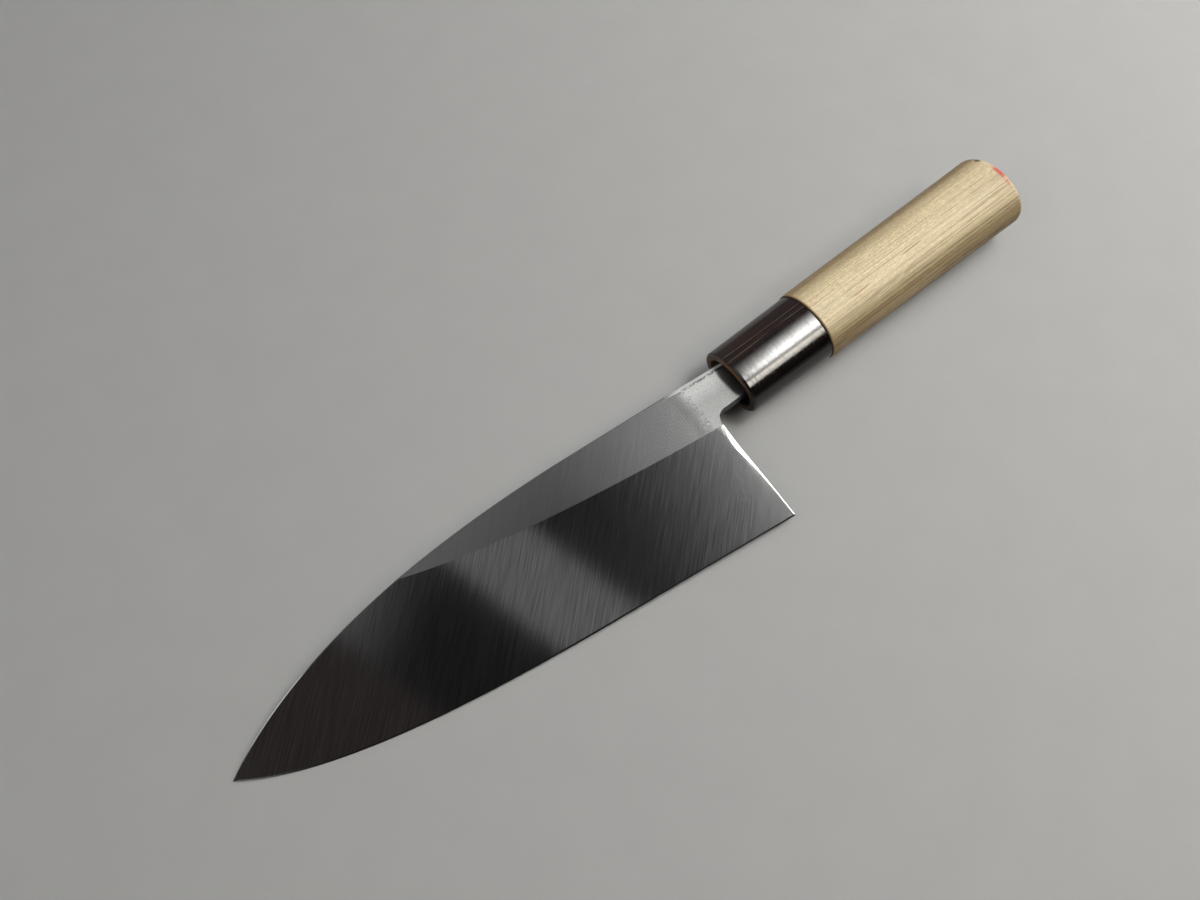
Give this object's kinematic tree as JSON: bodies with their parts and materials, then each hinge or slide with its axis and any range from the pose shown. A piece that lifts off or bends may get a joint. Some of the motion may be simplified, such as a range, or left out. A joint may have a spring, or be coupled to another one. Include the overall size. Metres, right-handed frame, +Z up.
{
  "type": "deba knife",
  "caption": "Heavy single-bevel kitchen knife with a deep pointed blade, hidden tang, dark horn ferrule and oval wooden grip, lying on its flat back.",
  "frame": {"origin": "on the table under the middle of the knife's box, with the knife lying as it comes to rest on its flat back", "axes": "+X along the knife from tip to butt, +Y from the edge towards the spine, +Z up from the table"},
  "size_m": [0.3148, 0.0602, 0.0231],
  "materials": {
    "steel": "satin, ground across the bevel",
    "wood": "bare, sanded",
    "horn": "polished",
    "resin": "dull"
  },
  "bodies": {
    "root": {"blade": "steel", "handle": "wood", "ferrule": "horn", "tang_resin": "resin"}
  },
  "joints": []
}
